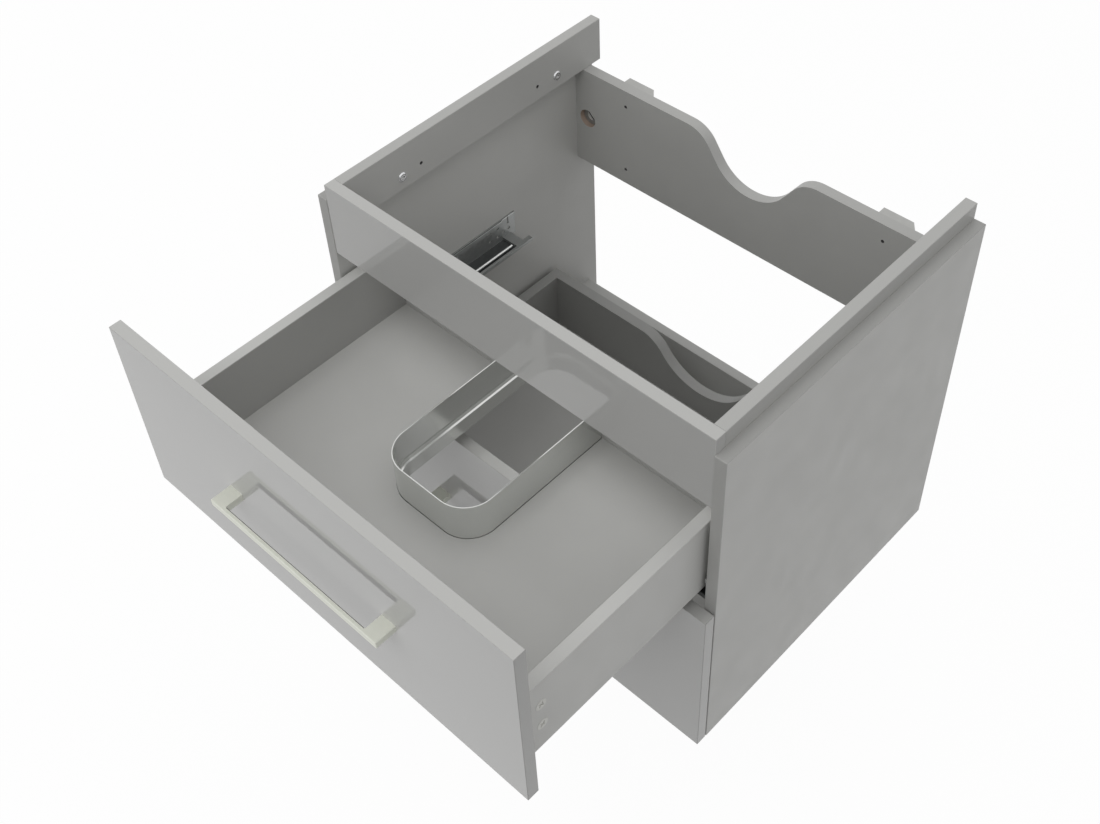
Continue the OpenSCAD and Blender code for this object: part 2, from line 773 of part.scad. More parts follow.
module upper_floor() {
  half = box_inner_x + groove_d;
  color("#9a9a97") translate([0, upper_y, upper_box_z + floor_recess])
    linear_extrude(floor_t) difference() {
      translate([-half, 0]) square([2 * half, box_d]);
      slot_outline(band_gap, box_d + cut);
    }
}

// One of the two short backs beside the slot
module upper_back() {
  w = box_inner_x - slot_w / 2;
  translate([0, upper_y + box_d - board_t, upper_box_z + floor_top]) difference() {
    translate([-box_inner_x, 0, 0]) board([w, board_t, box_h - floor_top]);
    back_dowel_bores();
  }
}

module upper_back_left() { color("#9d9d9a") upper_back(); }
module upper_back_right() { color("#9d9d9a") mirror([1, 0, 0]) upper_back(); }

module slot_band() {
  half = slot_w / 2;
  color("#cfd2d2") translate([0, upper_y, upper_box_z + floor_recess - band_drop]) {
    both_sides() {
      translate([-half, box_d, 0]) rotate([90, 0, 0])
        linear_extrude(box_d - slot_setback - slot_r) polygon(BAND_SECTION);
      translate([slot_r - half, slot_setback + slot_r, 0]) rotate([0, 0, 180])
        rotate_extrude(angle = 90) polygon([for (p = BAND_SECTION) [slot_r - p[0], p[1]]]);
    }
    translate([slot_r - half, slot_setback, 0]) rotate([90, 0, 90])
      linear_extrude(slot_w - 2 * slot_r) polygon(BAND_SECTION);
  }
}

module upper_cams() { color("#c4c4bc") cams(upper_box_z, upper_y); }
module upper_cam_bolts() { color("silver") cam_bolts(upper_box_z, upper_y); }
module upper_dowels() { color("#c9a877") drawer_dowels(upper_box_z, upper_y); }
module upper_slide_left() { color("#b8bcbc") slide_member(upper_box_z, upper_y); }
module upper_slide_right() { color("#b8bcbc") mirror([1, 0, 0]) slide_member(upper_box_z, upper_y); }
module upper_slide_screws() { color("silver") slide_screws(upper_box_z, upper_y); }

// The middle members start behind the slides' front ends and move half as far as the drawer
upper_middle_y = front_y + runner_setback - upper_open * middle_share;
lower_middle_y = front_y + runner_setback;

module upper_middle_left() { color("#a9adad") middle_member(upper_box_z, upper_middle_y); }
module upper_middle_right() {
  color("#a9adad") mirror([1, 0, 0]) middle_member(upper_box_z, upper_middle_y);
}
module upper_glides() { color("#3c3f40") glides(upper_box_z, upper_middle_y); }

module lower_front() {
  color("#bdbdbb") translate([0, lower_y, front_lift]) drawer_front(lower_front_h, lower_box_lift);
}

module lower_handle() {
  color("#c9cab9") translate([0, lower_y - board_t, front_lift + lower_front_h / 2 - handle_drop])
    handle();
}

module lower_handle_screws() {
  color("silver") translate([0, lower_y, front_lift + lower_front_h / 2 - handle_drop])
    handle_screws();
}

module lower_side_left() { color("#9d9d9a") box_side(lower_box_z, lower_y); }
module lower_side_right() { color("#9d9d9a") mirror([1, 0, 0]) box_side(lower_box_z, lower_y); }

module lower_floor() {
  half = box_inner_x + groove_d;
  color("#9a9a97") translate([-half, lower_y, lower_box_z + floor_recess])
    cube([2 * half, box_d, floor_t]);
}

module lower_back() {
  color("#9d9d9a") translate([0, lower_y + box_d - board_t, lower_box_z + floor_top]) difference() {
    dipped_board(box_inner_x, box_h - floor_top, dip_curve(0, box_h - floor_top, drawer_dip_d,
      drawer_valley_r, drawer_shoulder_r, drawer_dip_slope));
    back_dowel_bores();
  }
}

module lower_cams() { color("#c4c4bc") cams(lower_box_z, lower_y); }
module lower_cam_bolts() { color("silver") cam_bolts(lower_box_z, lower_y); }
module lower_dowels() { color("#c9a877") drawer_dowels(lower_box_z, lower_y); }
module lower_slide_left() { color("#b8bcbc") slide_member(lower_box_z, lower_y); }
module lower_slide_right() { color("#b8bcbc") mirror([1, 0, 0]) slide_member(lower_box_z, lower_y); }
module lower_slide_screws() { color("silver") slide_screws(lower_box_z, lower_y); }
module lower_middle_left() { color("#a9adad") middle_member(lower_box_z, lower_middle_y); }
module lower_middle_right() {
  color("#a9adad") mirror([1, 0, 0]) middle_member(lower_box_z, lower_middle_y);
}
module lower_glides() { color("#3c3f40") glides(lower_box_z, lower_middle_y); }

side_panel_left();
side_panel_right();
top_strip_left();
top_strip_right();
front_rail();
back_rail();
lower_back_rail();
bottom_panel();
carcass_dowels();
strip_screws();
hanger_left();
hanger_right();
hanger_screws();
spacer_block_left();
spacer_block_right();
upper_runner_left();
upper_runner_right();
lower_runner_left();
lower_runner_right();
runner_screws();
upper_front();
upper_handle();
upper_handle_screws();
upper_side_left();
upper_side_right();
upper_floor();
upper_back_left();
upper_back_right();
slot_band();
upper_cams();
upper_cam_bolts();
upper_dowels();
upper_slide_left();
upper_slide_right();
upper_slide_screws();
upper_middle_left();
upper_middle_right();
upper_glides();
lower_front();
lower_handle();
lower_handle_screws();
lower_side_left();
lower_side_right();
lower_floor();
lower_back();
lower_cams();
lower_cam_bolts();
lower_dowels();
lower_slide_left();
lower_slide_right();
lower_slide_screws();
lower_middle_left();
lower_middle_right();
lower_glides();
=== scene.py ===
"""The looks of a wall-hung vanity base unit with two drawers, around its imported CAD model."""

import json
import math

import bpy
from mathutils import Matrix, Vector

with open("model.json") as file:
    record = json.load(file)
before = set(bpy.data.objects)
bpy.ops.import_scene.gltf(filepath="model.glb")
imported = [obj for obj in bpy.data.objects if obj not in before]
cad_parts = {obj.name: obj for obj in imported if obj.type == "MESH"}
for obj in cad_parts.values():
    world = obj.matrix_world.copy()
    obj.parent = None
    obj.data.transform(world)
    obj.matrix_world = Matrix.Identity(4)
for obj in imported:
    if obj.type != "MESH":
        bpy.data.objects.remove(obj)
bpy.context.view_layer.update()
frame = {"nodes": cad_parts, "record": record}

MM = 0.001

# Camera, solved from the photograph in the frame's axes and then fitted again around a smaller
# shift, so that other views hold the cabinet too; places and clips are in metres
PHOTO_WIDTH = 1100
FOCAL_PIXELS = 1437.1
SENSOR_WIDTH = 36.0
PRINCIPAL_POINT_OFFSET = (-6.2, -80.0)
CAMERA_PLACE = (0.8527, -1.2394, 1.6791)
CAMERA_TURN_DEGREES = (44.390, 2.391, 43.658)
CLIP_START = 0.05
CLIP_END = 60.0

# Sizes of the grains in the finishes, and depths of their bumps
LACQUER_CLOUD_SIZE = 250 * MM
PEEL_SIZE = 4 * MM
PEEL_DEPTH = 0.02 * MM
BOARD_CLOUD_SIZE = 120 * MM
BOARD_SHEEN_SIZE = 30 * MM
PEARL_SIZE = 0.9 * MM
PEARL_DEPTH = 0.03 * MM
FIBRE_SIZE = 1.2 * MM
POLISH_SIZE = 4 * MM
METAL_GRAIN_SIZE = 1.2 * MM
METAL_GRAIN_DEPTH = 0.003 * MM
FLAKE_SIZE = 5 * MM
ZINC_MOTTLE_SIZE = 2 * MM
PLASTIC_CLOUD_SIZE = 10 * MM
PLASTIC_GRAIN_SIZE = 0.6 * MM
PLASTIC_GRAIN_DEPTH = 0.02 * MM
BEECH_GRAIN_SIZE = 2 * MM

# How many times closer the grains lie along each axis
POLISH_STRETCH = (0.3, 0.3, 6.0)
BEECH_STRETCH = (0.15, 1.0, 1.0)

# Limits that noise mostly keeps between, and limits of the factors that it gives a tone
NOISE_LOW = 0.3
NOISE_HIGH = 0.7
FAINT = (0.985, 1.015)
MILD = (0.97, 1.03)
MOTTLED = (0.94, 1.06)

# Limits of the roughness where it changes with the grain
BOARD_ROUGHNESS = (0.42, 0.52)
POLISH_ROUGHNESS = (0.16, 0.24)
SHEET_ROUGHNESS = (0.34, 0.42)

# How much smoother the runners' beads, which carry a painted highlight, are than their sheet
BEAD_SMOOTHING = 0.2

# How much less blue than red the lacquer and the boards are, as shares
LACQUER_WARMTH = 0.02
BOARD_WARMTH = 0.03

# Tones of the lacquers and boards, by material: lit and shaded copies of one lacquer and of the
# boards, whose differences between parts are painted light and shade
LACQUER_TONES = {"gloss_lacquer": 0.58, "rail_lacquer": 0.53}
BOARD_TONES = {
    "satin_board": 0.63,
    "left_panel_board": 0.62,
    "right_panel_board": 0.62,
    "strip_board": 0.50,
    "back_rail_board": 0.49,
    "box_board": 0.52,
    "left_side_board": 0.65,
    "right_side_board": 0.65,
    "floor_board": 0.53,
    "lower_box_board": 0.32,
    "lower_floor_board": 0.45,
}

# Painted light and shade on the boards and lacquers, as a tone of their own for the faces that look one
# way: the way, and its share of the tone
UP, DOWN, FORWARD, LEFT, RIGHT = (0, 0, 1), (0, 0, -1), (0, -1, 0), (-1, 0, 0), (1, 0, 0)
PANEL_LIGHT_AND_SHADE = [(UP, 0.60), (FORWARD, 0.74)]
STRIP_LIGHT_AND_SHADE = [(UP, 0.92)]
BOX_LIGHT_AND_SHADE = [(UP, 0.80)]
SIDE_LIGHT_AND_SHADE = [(UP, 0.86)]
BACK_RAIL_LIGHT_AND_SHADE = [(UP, 0.89), (LEFT, 0.89), (RIGHT, 0.89)]
FRONT_LIGHT_AND_SHADE = [(UP, 0.90), (LEFT, 0.60), (RIGHT, 0.60)]
FRONT_RAIL_LIGHT_AND_SHADE = [(UP, 0.95), (DOWN, 1.5)]

# The same painted shade for the inner faces of a drawer side and of a side panel
SIDE_INNER_SHARE = 0.58
PANEL_INNER_SHARE = 0.92

# Least cosine at which a face looks the way of a painted tone
FACING_COSINE = 0.5

# Metals with a grain: colour, closeness of the grain along each axis, limits of the roughness and
# share of metal
METALS = {
    "handle_metal": ((0.84, 0.855, 0.765), (0.1, 1.0, 1.0), (0.38, 0.46), 0.4),
    "zinc_steel": ((0.76, 0.77, 0.78), (1.0, 1.0, 1.0), (0.22, 0.32), 0.8),
}

# Plastics: colour and roughness
PLASTICS = {
    "light_plastic": ((0.46, 0.46, 0.445), 0.4),
    "dark_plastic": ((0.04, 0.04, 0.045), 0.45),
    "cam_plastic": ((0.72, 0.72, 0.68), 0.35),
}

# Colours
WHITE = (1.0, 1.0, 1.0, 1.0)
RAW_BOARD_DARK = (0.30, 0.22, 0.17, 1.0)
RAW_BOARD_LIGHT = (0.58, 0.47, 0.39, 1.0)
BEECH_DARK = (0.50, 0.34, 0.18, 1.0)
BEECH_LIGHT = (0.72, 0.55, 0.35, 1.0)
POLISHED_COLOUR = (0.74, 0.75, 0.73, 1.0)
SHEET_COLOUR = (0.36, 0.37, 0.365, 1.0)
# Painted shade in the runners' troughs, a painted highlight on their beads, and painted shade and
# highlight lines on their flanges' rolled tops
TROUGH_PAINTED_SHADE = (0.09, 0.095, 0.095, 1.0)
BEAD_PAINTED_HIGHLIGHT = (0.88, 0.89, 0.88, 1.0)
ROLL_PAINTED_SHADE = (0.06, 0.06, 0.06, 1.0)
ROLL_PAINTED_HIGHLIGHT = (0.62, 0.64, 0.63, 1.0)
# Painted shade along the inner edges of the handles' bars
HANDLE_EDGE_SHADE = (0.10, 0.10, 0.09, 1.0)
HANGER_ZINC = (0.72, 0.73, 0.72, 1.0)
SCREW_ZINC = (0.76, 0.77, 0.78, 1.0)
# Painted shade in the hanger screws' slots
SLOT_SHADE = (0.02, 0.02, 0.02, 1.0)

# Radius of the access holes in the back rail
ACCESS_RADIUS = 14 * MM

# How far a bore's tone reaches past its wall, and the painted shade in the pilot holes' bores
BORE_MARGIN = 0.05 * MM
DARK_BORE = 0.12

# Screws of the strips: their distances from the wall and heights, and the radii and tones of the
# rings painted on their heads, from the outside in: painted shade inside the rim, a painted highlight
# on the socket's edge, and painted shade in the socket
STRIP_SCREWS = ((373.5 * MM, 523.5 * MM), (88.0 * MM, 523.5 * MM))
HEAD_PAINTED_RINGS = ((5.2 * MM, 0.30), (3.9 * MM, 1.0), (3.0 * MM, 0.60))

# Hanger screws: radius of the faces that hold the slots, and the slots' reach behind them, where shade is
# painted
SLOT_RADIUS = 6.6 * MM
SLOT_START = 0.3 * MM
SLOT_END = 2.2 * MM

# Beads of the runners, where a highlight is painted: limits of their distance from the middle, the
# heights of the upper and lower ones, and half their height
BEAD_X = (275.0 * MM, 278.6 * MM)
BEAD_HEIGHTS = (299.0 * MM, 43.0 * MM)
BEAD_HALF = 1.7 * MM

# Troughs of the runners, where shade is painted: limits of their distance from the middle, the
# place in depth of their rear ends, and their reach below and above the beads
TROUGH_X = (275.7 * MM, 302.3 * MM)
TROUGH_END_Y = -198.2 * MM
TROUGH_DOWN = 12 * MM
TROUGH_UP = 1 * MM

# Rolled tops of the runners' flanges: their height above the beads, and the depths below them
# at which the painted shade line ends and the painted highlight line below it ends
FLANGE_TOP = 29 * MM
SHADE_LINE_END = 1.1 * MM
HIGHLIGHT_LINE_END = 2.75 * MM

# Inner edges of the handles' bars: their places in depth, half the width of the painted shade
# line on them, and half the free length between a handle's legs
HANDLE_EDGES_Y = (-812.0 * MM, -523.0 * MM)
HANDLE_EDGE_HALF = 0.7 * MM
HANDLE_FREE_HALF = 116.0 * MM

# Floor, in metres: its depth below the cabinet and half its width; the grey that it throws back,
# and the share of plain white where it is seen
FLOOR_DROP = 0.30
FLOOR_HALF = 9.0
FLOOR_BOUNCE = 0.3
FLOOR_WHITE_SHARE = 0.96

# Strength of the sky at the zenith, and the horizon's share of it
WORLD_STRENGTH = 0.60
HORIZON_SHARE = 0.6

# Lamps: name, place, target, width and height in metres, power in watts
LAMPS = [
    ("front", (0.1, -2.2, 3.2), (0.0, -0.5, 0.3), 2.4, 2.0, 24.0),
    ("left", (-3.0, -0.8, 1.8), (0.0, -0.4, 0.3), 2.0, 2.0, 12.0),
    ("right", (3.2, -0.8, 1.8), (0.0, -0.4, 0.3), 2.0, 2.0, 6.0),
    ("rear", (0.0, 0.8, 3.0), (0.0, -0.5, 0.3), 2.4, 2.0, 11.0),
]

# Sockets of a Mix node that mixes colours
MIX_FACTOR = 0
MIX_FIRST = 6
MIX_SECOND = 7
MIX_RESULT = 2


# Node helpers
def fill(tree, node, sockets):
    """Gives each of a node's sockets that is named a value, or a link from another socket."""
    for name, value in sockets.items():
        if isinstance(value, bpy.types.NodeSocket):
            tree.links.new(value, node.inputs[name])
        else:
            node.inputs[name].default_value = value


def add(tree, kind, sockets=None, **settings):
    """A new node with its settings, and a value or a link for each socket named."""
    node = tree.nodes.new(kind)
    for name, value in settings.items():
        setattr(node, name, value)
    fill(tree, node, sockets or {})
    return node


def maths(tree, operation, *values):
    """The result of a Math node."""
    return add(tree, "ShaderNodeMath", dict(enumerate(values)), operation=operation).outputs[0]


def vector_maths(tree, operation, sockets, result="Vector"):
    """A result of a Vector Math node."""
    return add(tree, "ShaderNodeVectorMath", sockets, operation=operation).outputs[result]


def axes(tree, vector):
    """The sockets X, Y and Z of a vector."""
    return add(tree, "ShaderNodeSeparateXYZ", {0: vector}).outputs


def between(tree, value, low, high):
    """1 where a value lies between two limits."""
    above = maths(tree, "GREATER_THAN", value, low)
    return maths(tree, "MULTIPLY", above, maths(tree, "LESS_THAN", value, high))


def grey(value, warmth=0.0):
    """A grey, as a colour socket's value, with less blue the warmer it is."""
    return (value, value, value * (1 - warmth), 1.0)


def material(name):
    """A new material, its node tree, its Principled shader and the place in metres."""
    made = bpy.data.materials.new(name)
    made.use_nodes = True
    tree = made.node_tree
    shader = tree.nodes["Principled BSDF"]
    place = add(tree, "ShaderNodeTexCoord").outputs["Object"]
    return made, tree, shader, place


def noise(tree, place, size, detail=2.0, roughness=0.5, stretch=None):
    """Noise from 0 to 1 whose grains are about size metres across."""
    if stretch:
        place = vector_maths(tree, "MULTIPLY", {0: place, 1: stretch})
    sockets = {"Vector": place, "Scale": 1 / size, "Detail": detail, "Roughness": roughness}
    return add(tree, "ShaderNodeTexNoise", sockets).outputs["Fac"]


def spread(tree, value, low, high, start=NOISE_LOW, end=NOISE_HIGH):
    """A value mapped from start..end to low..high."""
    sockets = {"Value": value, "From Min": start, "From Max": end, "To Min": low, "To Max": high}
    return add(tree, "ShaderNodeMapRange", sockets).outputs["Result"]


def shade(tree, factor, colour):
    """A colour, or a socket that gives one, multiplied by a factor."""
    if not isinstance(colour, bpy.types.NodeSocket):
        colour = colour[:3]
    return vector_maths(tree, "SCALE", {0: colour, "Scale": factor})


def blend_colours(tree, factor, first, second):
    """The first colour where the factor is 0, and the second where it is 1."""
    sockets = {MIX_FACTOR: factor, MIX_FIRST: first, MIX_SECOND: second}
    return add(tree, "ShaderNodeMix", sockets, data_type="RGBA").outputs[MIX_RESULT]


def bump(tree, height, depth):
    """A normal bumped by a height from 0 to 1 that stands for depth metres."""
    return add(tree, "ShaderNodeBump", {"Height": height, "Distance": depth}).outputs["Normal"]


# Masks, and painted light and shade on faces by the way they look
def add_painted_face_shading(tree, colour, value, painted_light_and_shade):
    """A board's colour with painted light and shade: for each entry, the way that faces look and their
    share of the tone.
    """
    normal = add(tree, "ShaderNodeTexCoord").outputs["Normal"]
    for way, share in painted_light_and_shade:
        cosine = vector_maths(tree, "DOT_PRODUCT", {0: normal, 1: way}, "Value")
        facing = maths(tree, "GREATER_THAN", cosine, FACING_COSINE)
        colour = blend_colours(tree, facing, colour, grey(value * share, BOARD_WARMTH))
    return colour


def hole_mask(tree, place, holes):
    """1 within a radius of level axes at one distance from the middle (X) or the wall (Y) and at one
    height, given as (X or Y, distance, height, radius)."""
    way, distance, height, radius = holes
    parts = axes(tree, place)
    across = maths(tree, "SUBTRACT", maths(tree, "ABSOLUTE", parts[way]), distance)
    up = maths(tree, "SUBTRACT", parts["Z"], height)
    squares = [maths(tree, "MULTIPLY", v, v) for v in (across, up)]
    return maths(tree, "LESS_THAN", maths(tree, "SQRT", maths(tree, "ADD", *squares)), radius)


def at_beads(tree, height, low, high):
    """1 where a height lies between two limits, counted from the upper or the lower beads."""
    return maths(tree, "ADD", *[between(tree, height, z + low, z + high) for z in BEAD_HEIGHTS])


def runner_masks(tree, place):
    """1 in the runners' troughs, where shade is painted, on their beads, where a highlight is painted,
    and on the painted shade and highlight lines of their flanges' rolled tops."""
    parts = axes(tree, place)
    across = maths(tree, "ABSOLUTE", parts["X"])
    trough = between(tree, across, *TROUGH_X)
    trough = maths(tree, "MULTIPLY", trough, maths(tree, "LESS_THAN", parts["Y"], TROUGH_END_Y))
    trough = maths(tree, "MULTIPLY", trough, at_beads(tree, parts["Z"], -TROUGH_DOWN, TROUGH_UP))
    bead = between(tree, across, *BEAD_X)
    bead = maths(tree, "MULTIPLY", bead, at_beads(tree, parts["Z"], -BEAD_HALF, BEAD_HALF))
    shade_line = at_beads(tree, parts["Z"], FLANGE_TOP - SHADE_LINE_END, FLANGE_TOP)
    highlight_line = at_beads(tree, parts["Z"], FLANGE_TOP - HIGHLIGHT_LINE_END, FLANGE_TOP - SHADE_LINE_END)
    return trough, bead, shade_line, highlight_line


def handle_edge_shade_mask(tree, place):
    """1 on the inner edges of the handles' bars, between their legs, where shade is painted."""
    parts = axes(tree, place)
    edges = [between(tree, parts["Y"], y - HANDLE_EDGE_HALF, y + HANDLE_EDGE_HALF) for y in HANDLE_EDGES_Y]
    free = maths(tree, "LESS_THAN", maths(tree, "ABSOLUTE", parts["X"]), HANDLE_FREE_HALF)
    return maths(tree, "MULTIPLY", free, maths(tree, "ADD", *edges))


# Materials
def lacquer(name, painted_light_and_shade):
    """High-gloss lacquer with a faint orange peel, and with painted light and shade as tones for the faces
    that look each listed way.
    """
    made, tree, shader, place = material(name)
    value = LACQUER_TONES[name]
    tone = spread(tree, noise(tree, place, LACQUER_CLOUD_SIZE), *FAINT)
    colour = shade(tree, tone, grey(value, LACQUER_WARMTH))
    fill(tree, shader, {
        "Base Color": add_painted_face_shading(tree, colour, value, painted_light_and_shade),
        "Roughness": 0.4,
        "Specular IOR Level": 0.1,
        "Coat Weight": 0.8,
        "Coat Roughness": 0.02,
        "Coat IOR": 1.5,
        "Coat Normal": bump(tree, noise(tree, place, PEEL_SIZE, detail=1.0), PEEL_DEPTH),
    })
    return made


def raw_board(tree, place):
    """The brown fibres of a sawn board."""
    fibres = noise(tree, place, FIBRE_SIZE, detail=6.0, roughness=0.7)
    return blend_colours(tree, fibres, RAW_BOARD_DARK, RAW_BOARD_LIGHT)


def satin_board(name, painted_light_and_shade=(), raw_holes=(), dark_holes=()):
    """Satin melamine with a fine pearl texture, with painted light and shade as tones for the faces that
    look each listed way; raw board shows in the bores of raw_holes, and painted shade in those of
    dark_holes."""
    made, tree, shader, place = material(name)
    value = BOARD_TONES[name]
    tone = spread(tree, noise(tree, place, BOARD_CLOUD_SIZE, detail=4.0), *MILD)
    colour = add_painted_face_shading(tree, shade(tree, tone, grey(value, BOARD_WARMTH)), value, painted_light_and_shade)
    for holes in raw_holes:
        colour = blend_colours(tree, hole_mask(tree, place, holes), colour, raw_board(tree, place))
    # Painted shade in the bores of the pilot holes
    for holes in dark_holes:
        colour = blend_colours(tree, hole_mask(tree, place, holes), colour, grey(DARK_BORE))
    fill(tree, shader, {
        "Base Color": colour,
        "Roughness": spread(tree, noise(tree, place, BOARD_SHEEN_SIZE), *BOARD_ROUGHNESS),
        "Specular IOR Level": 0.4,
        "Normal": bump(tree, noise(tree, place, PEARL_SIZE), PEARL_DEPTH),
    })
    return made


def polished_steel(name):
    """Polished sheet with a very faint grain along its length."""
    made, tree, shader, place = material(name)
    grain = noise(tree, place, POLISH_SIZE, detail=4.0, stretch=POLISH_STRETCH)
    fill(tree, shader, {
        "Base Color": POLISHED_COLOUR,
        "Roughness": spread(tree, grain, *POLISH_ROUGHNESS),
        "Metallic": 0.8,
    })
    return made


def satin_metal(name, painted_shade_mask=None):
    """Anodised or plated metal with a fine grain, and painted shade where the mask, if it is given, is 1.
    """
    made, tree, shader, place = material(name)
    colour, stretch, roughness, metallic = METALS[name]
    grain = noise(tree, place, METAL_GRAIN_SIZE, detail=4.0, roughness=0.6, stretch=stretch)
    tone = shade(tree, spread(tree, grain, *FAINT), colour)
    if painted_shade_mask:
        tone = blend_colours(tree, painted_shade_mask(tree, place), tone, HANDLE_EDGE_SHADE)
    fill(tree, shader, {
        "Base Color": tone,
        "Roughness": spread(tree, grain, *roughness),
        "Metallic": metallic,
        "Normal": bump(tree, grain, METAL_GRAIN_DEPTH),
    })
    return made


def galvanised_steel(name):
    """Galvanised sheet with faint flakes, with painted shade in the troughs, a painted highlight on the
    beads, and painted shade and highlight lines on the flanges' rolled tops.
    """
    made, tree, shader, place = material(name)
    flakes = add(tree, "ShaderNodeTexVoronoi", {"Vector": place, "Scale": 1 / FLAKE_SIZE}).outputs["Color"]
    flake = axes(tree, flakes)["X"]
    trough, bead, shade_line, highlight_line = runner_masks(tree, place)
    tone = blend_colours(tree, trough, SHEET_COLOUR, TROUGH_PAINTED_SHADE)
    tone = blend_colours(tree, bead, tone, BEAD_PAINTED_HIGHLIGHT)
    tone = blend_colours(tree, shade_line, tone, ROLL_PAINTED_SHADE)
    tone = blend_colours(tree, highlight_line, tone, ROLL_PAINTED_HIGHLIGHT)
    smoothing = maths(tree, "MULTIPLY", bead, BEAD_SMOOTHING)
    fill(tree, shader, {
        "Base Color": shade(tree, spread(tree, flake, *MOTTLED, 0, 1), tone),
        "Roughness": maths(tree, "SUBTRACT", spread(tree, flake, *SHEET_ROUGHNESS, 0, 1), smoothing),
        "Metallic": 0.6,
    })
    return made


def mottled_zinc(tree, place, colour):
    """The uneven colour of zinc plating."""
    return shade(tree, spread(tree, noise(tree, place, ZINC_MOTTLE_SIZE, detail=4.0), *MOTTLED), colour)


def slotted_zinc(name, holes, face_y):
    """Zinc on screws behind the back rail's access holes, with painted shade in the slots of their heads.
    """
    made, tree, shader, place = material(name)
    slot = between(tree, axes(tree, place)["Y"], face_y + SLOT_START, face_y + SLOT_END)
    slot = maths(tree, "MULTIPLY", slot, hole_mask(tree, place, holes))
    fill(tree, shader, {
        "Base Color": blend_colours(tree, slot, mottled_zinc(tree, place, HANGER_ZINC), SLOT_SHADE),
        "Roughness": 0.35,
        "Metallic": 0.4,
    })
    return made


def socket_zinc(name):
    """Zinc on the strips' screws, with painted shade inside the rims of their heads and in their sockets,
    and a painted highlight on the sockets' edges.
    """
    made, tree, shader, place = material(name)
    colour = mottled_zinc(tree, place, SCREW_ZINC)
    for distance, height in STRIP_SCREWS:
        for radius, value in HEAD_PAINTED_RINGS:
            ring = hole_mask(tree, place, ("Y", distance, height, radius))
            colour = blend_colours(tree, ring, colour, grey(value))
    fill(tree, shader, {"Base Color": colour, "Roughness": 0.27, "Metallic": 0.8})
    return made


def plastic(name):
    """Moulded plastic with a fine eroded texture."""
    made, tree, shader, place = material(name)
    colour, roughness = PLASTICS[name]
    tone = spread(tree, noise(tree, place, PLASTIC_CLOUD_SIZE), *MILD)
    fill(tree, shader, {
        "Base Color": shade(tree, tone, colour),
        "Roughness": roughness,
        "Normal": bump(tree, noise(tree, place, PLASTIC_GRAIN_SIZE), PLASTIC_GRAIN_DEPTH),
    })
    return made


def beech(name):
    """Raw beech with flecks along the dowels."""
    made, tree, shader, place = material(name)
    grain = noise(tree, place, BEECH_GRAIN_SIZE, detail=6.0, roughness=0.6, stretch=BEECH_STRETCH)
    colour = blend_colours(tree, grain, BEECH_DARK, BEECH_LIGHT)
    fill(tree, shader, {"Base Color": colour, "Roughness": 0.65})
    return made


# Places that the record gives
def access_place():
    """Distance from the middle and height of the hangers' access holes."""
    openings = frame["record"]["physics"]["openings"]
    low, high = next(o["box_m"] for o in openings if o["name"] == "hanger_access_right")
    x, _, z = [(a + b) / 2 for a, b in zip(low, high)]
    return x, z


def pilot_holes():
    """The pilot holes of the back rail and those of the strips, as hole_mask takes them."""
    mounts = {mount["name"]: mount for mount in frame["record"]["mounts"]}
    rail, strip = mounts["back_rail_holes"], mounts["basin_bracket_holes_left"]
    radius = rail["dims"]["hole_r_mm"] * MM + BORE_MARGIN
    half_x = rail["dims"]["spacing_x_mm"] * MM / 2
    half_z = rail["dims"]["spacing_y_mm"] * MM / 2
    half_y = strip["dims"]["spacing_x_mm"] * MM / 2
    _, strip_y, strip_z = strip["pos_m"]
    in_rail = [("X", half_x, rail["pos_m"][2] + side * half_z, radius) for side in (-1, 1)]
    in_strips = [("Y", side * half_y - strip_y, strip_z, radius) for side in (-1, 1)]
    return in_rail, in_strips


def front_face_y(name):
    """Place in depth of the face of a node that looks into the room."""
    node = frame["nodes"][name]
    return min((node.matrix_world @ Vector(corner)).y for corner in node.bound_box)


# Dressing
def slot_finishes():
    """The finish of each material slot in use whose nodes have none of their own."""
    return {
        "satin_board": satin_board("satin_board"),
        "polished_steel": polished_steel("polished_steel"),
        "handle_metal": satin_metal("handle_metal", handle_edge_shade_mask),
        "galvanised_steel": galvanised_steel("galvanised_steel"),
        "zinc_steel": satin_metal("zinc_steel"),
        "light_plastic": plastic("light_plastic"),
        "dark_plastic": plastic("dark_plastic"),
        "dowel_wood": beech("dowel_wood"),
    }


def carcass_finishes(galvanised, box_board):
    """Finishes of the carcass's nodes that have one of their own."""
    access_x, access_z = access_place()
    access_holes = ("X", access_x, access_z, ACCESS_RADIUS + BORE_MARGIN)
    slot_place = ("X", access_x, access_z, SLOT_RADIUS)
    rail_pilots, strip_pilots = pilot_holes()
    strip_board = satin_board("strip_board", STRIP_LIGHT_AND_SHADE, dark_holes=strip_pilots)
    return {
        "side_panel_left": satin_board("left_panel_board", PANEL_LIGHT_AND_SHADE + [(RIGHT, PANEL_INNER_SHARE)]),
        "side_panel_right": satin_board("right_panel_board", PANEL_LIGHT_AND_SHADE + [(LEFT, PANEL_INNER_SHARE)]),
        "top_strip_left": strip_board,
        "top_strip_right": strip_board,
        "strip_screws": socket_zinc("socket_zinc"),
        "front_rail": lacquer("rail_lacquer", FRONT_RAIL_LIGHT_AND_SHADE),
        "back_rail": satin_board("back_rail_board", BACK_RAIL_LIGHT_AND_SHADE, [access_holes], rail_pilots),
        "lower_back_rail": box_board,
        "hanger_left": galvanised,
        "hanger_right": galvanised,
        "hanger_screws": slotted_zinc("hanger_zinc", slot_place, front_face_y("hanger_screws")),
    }


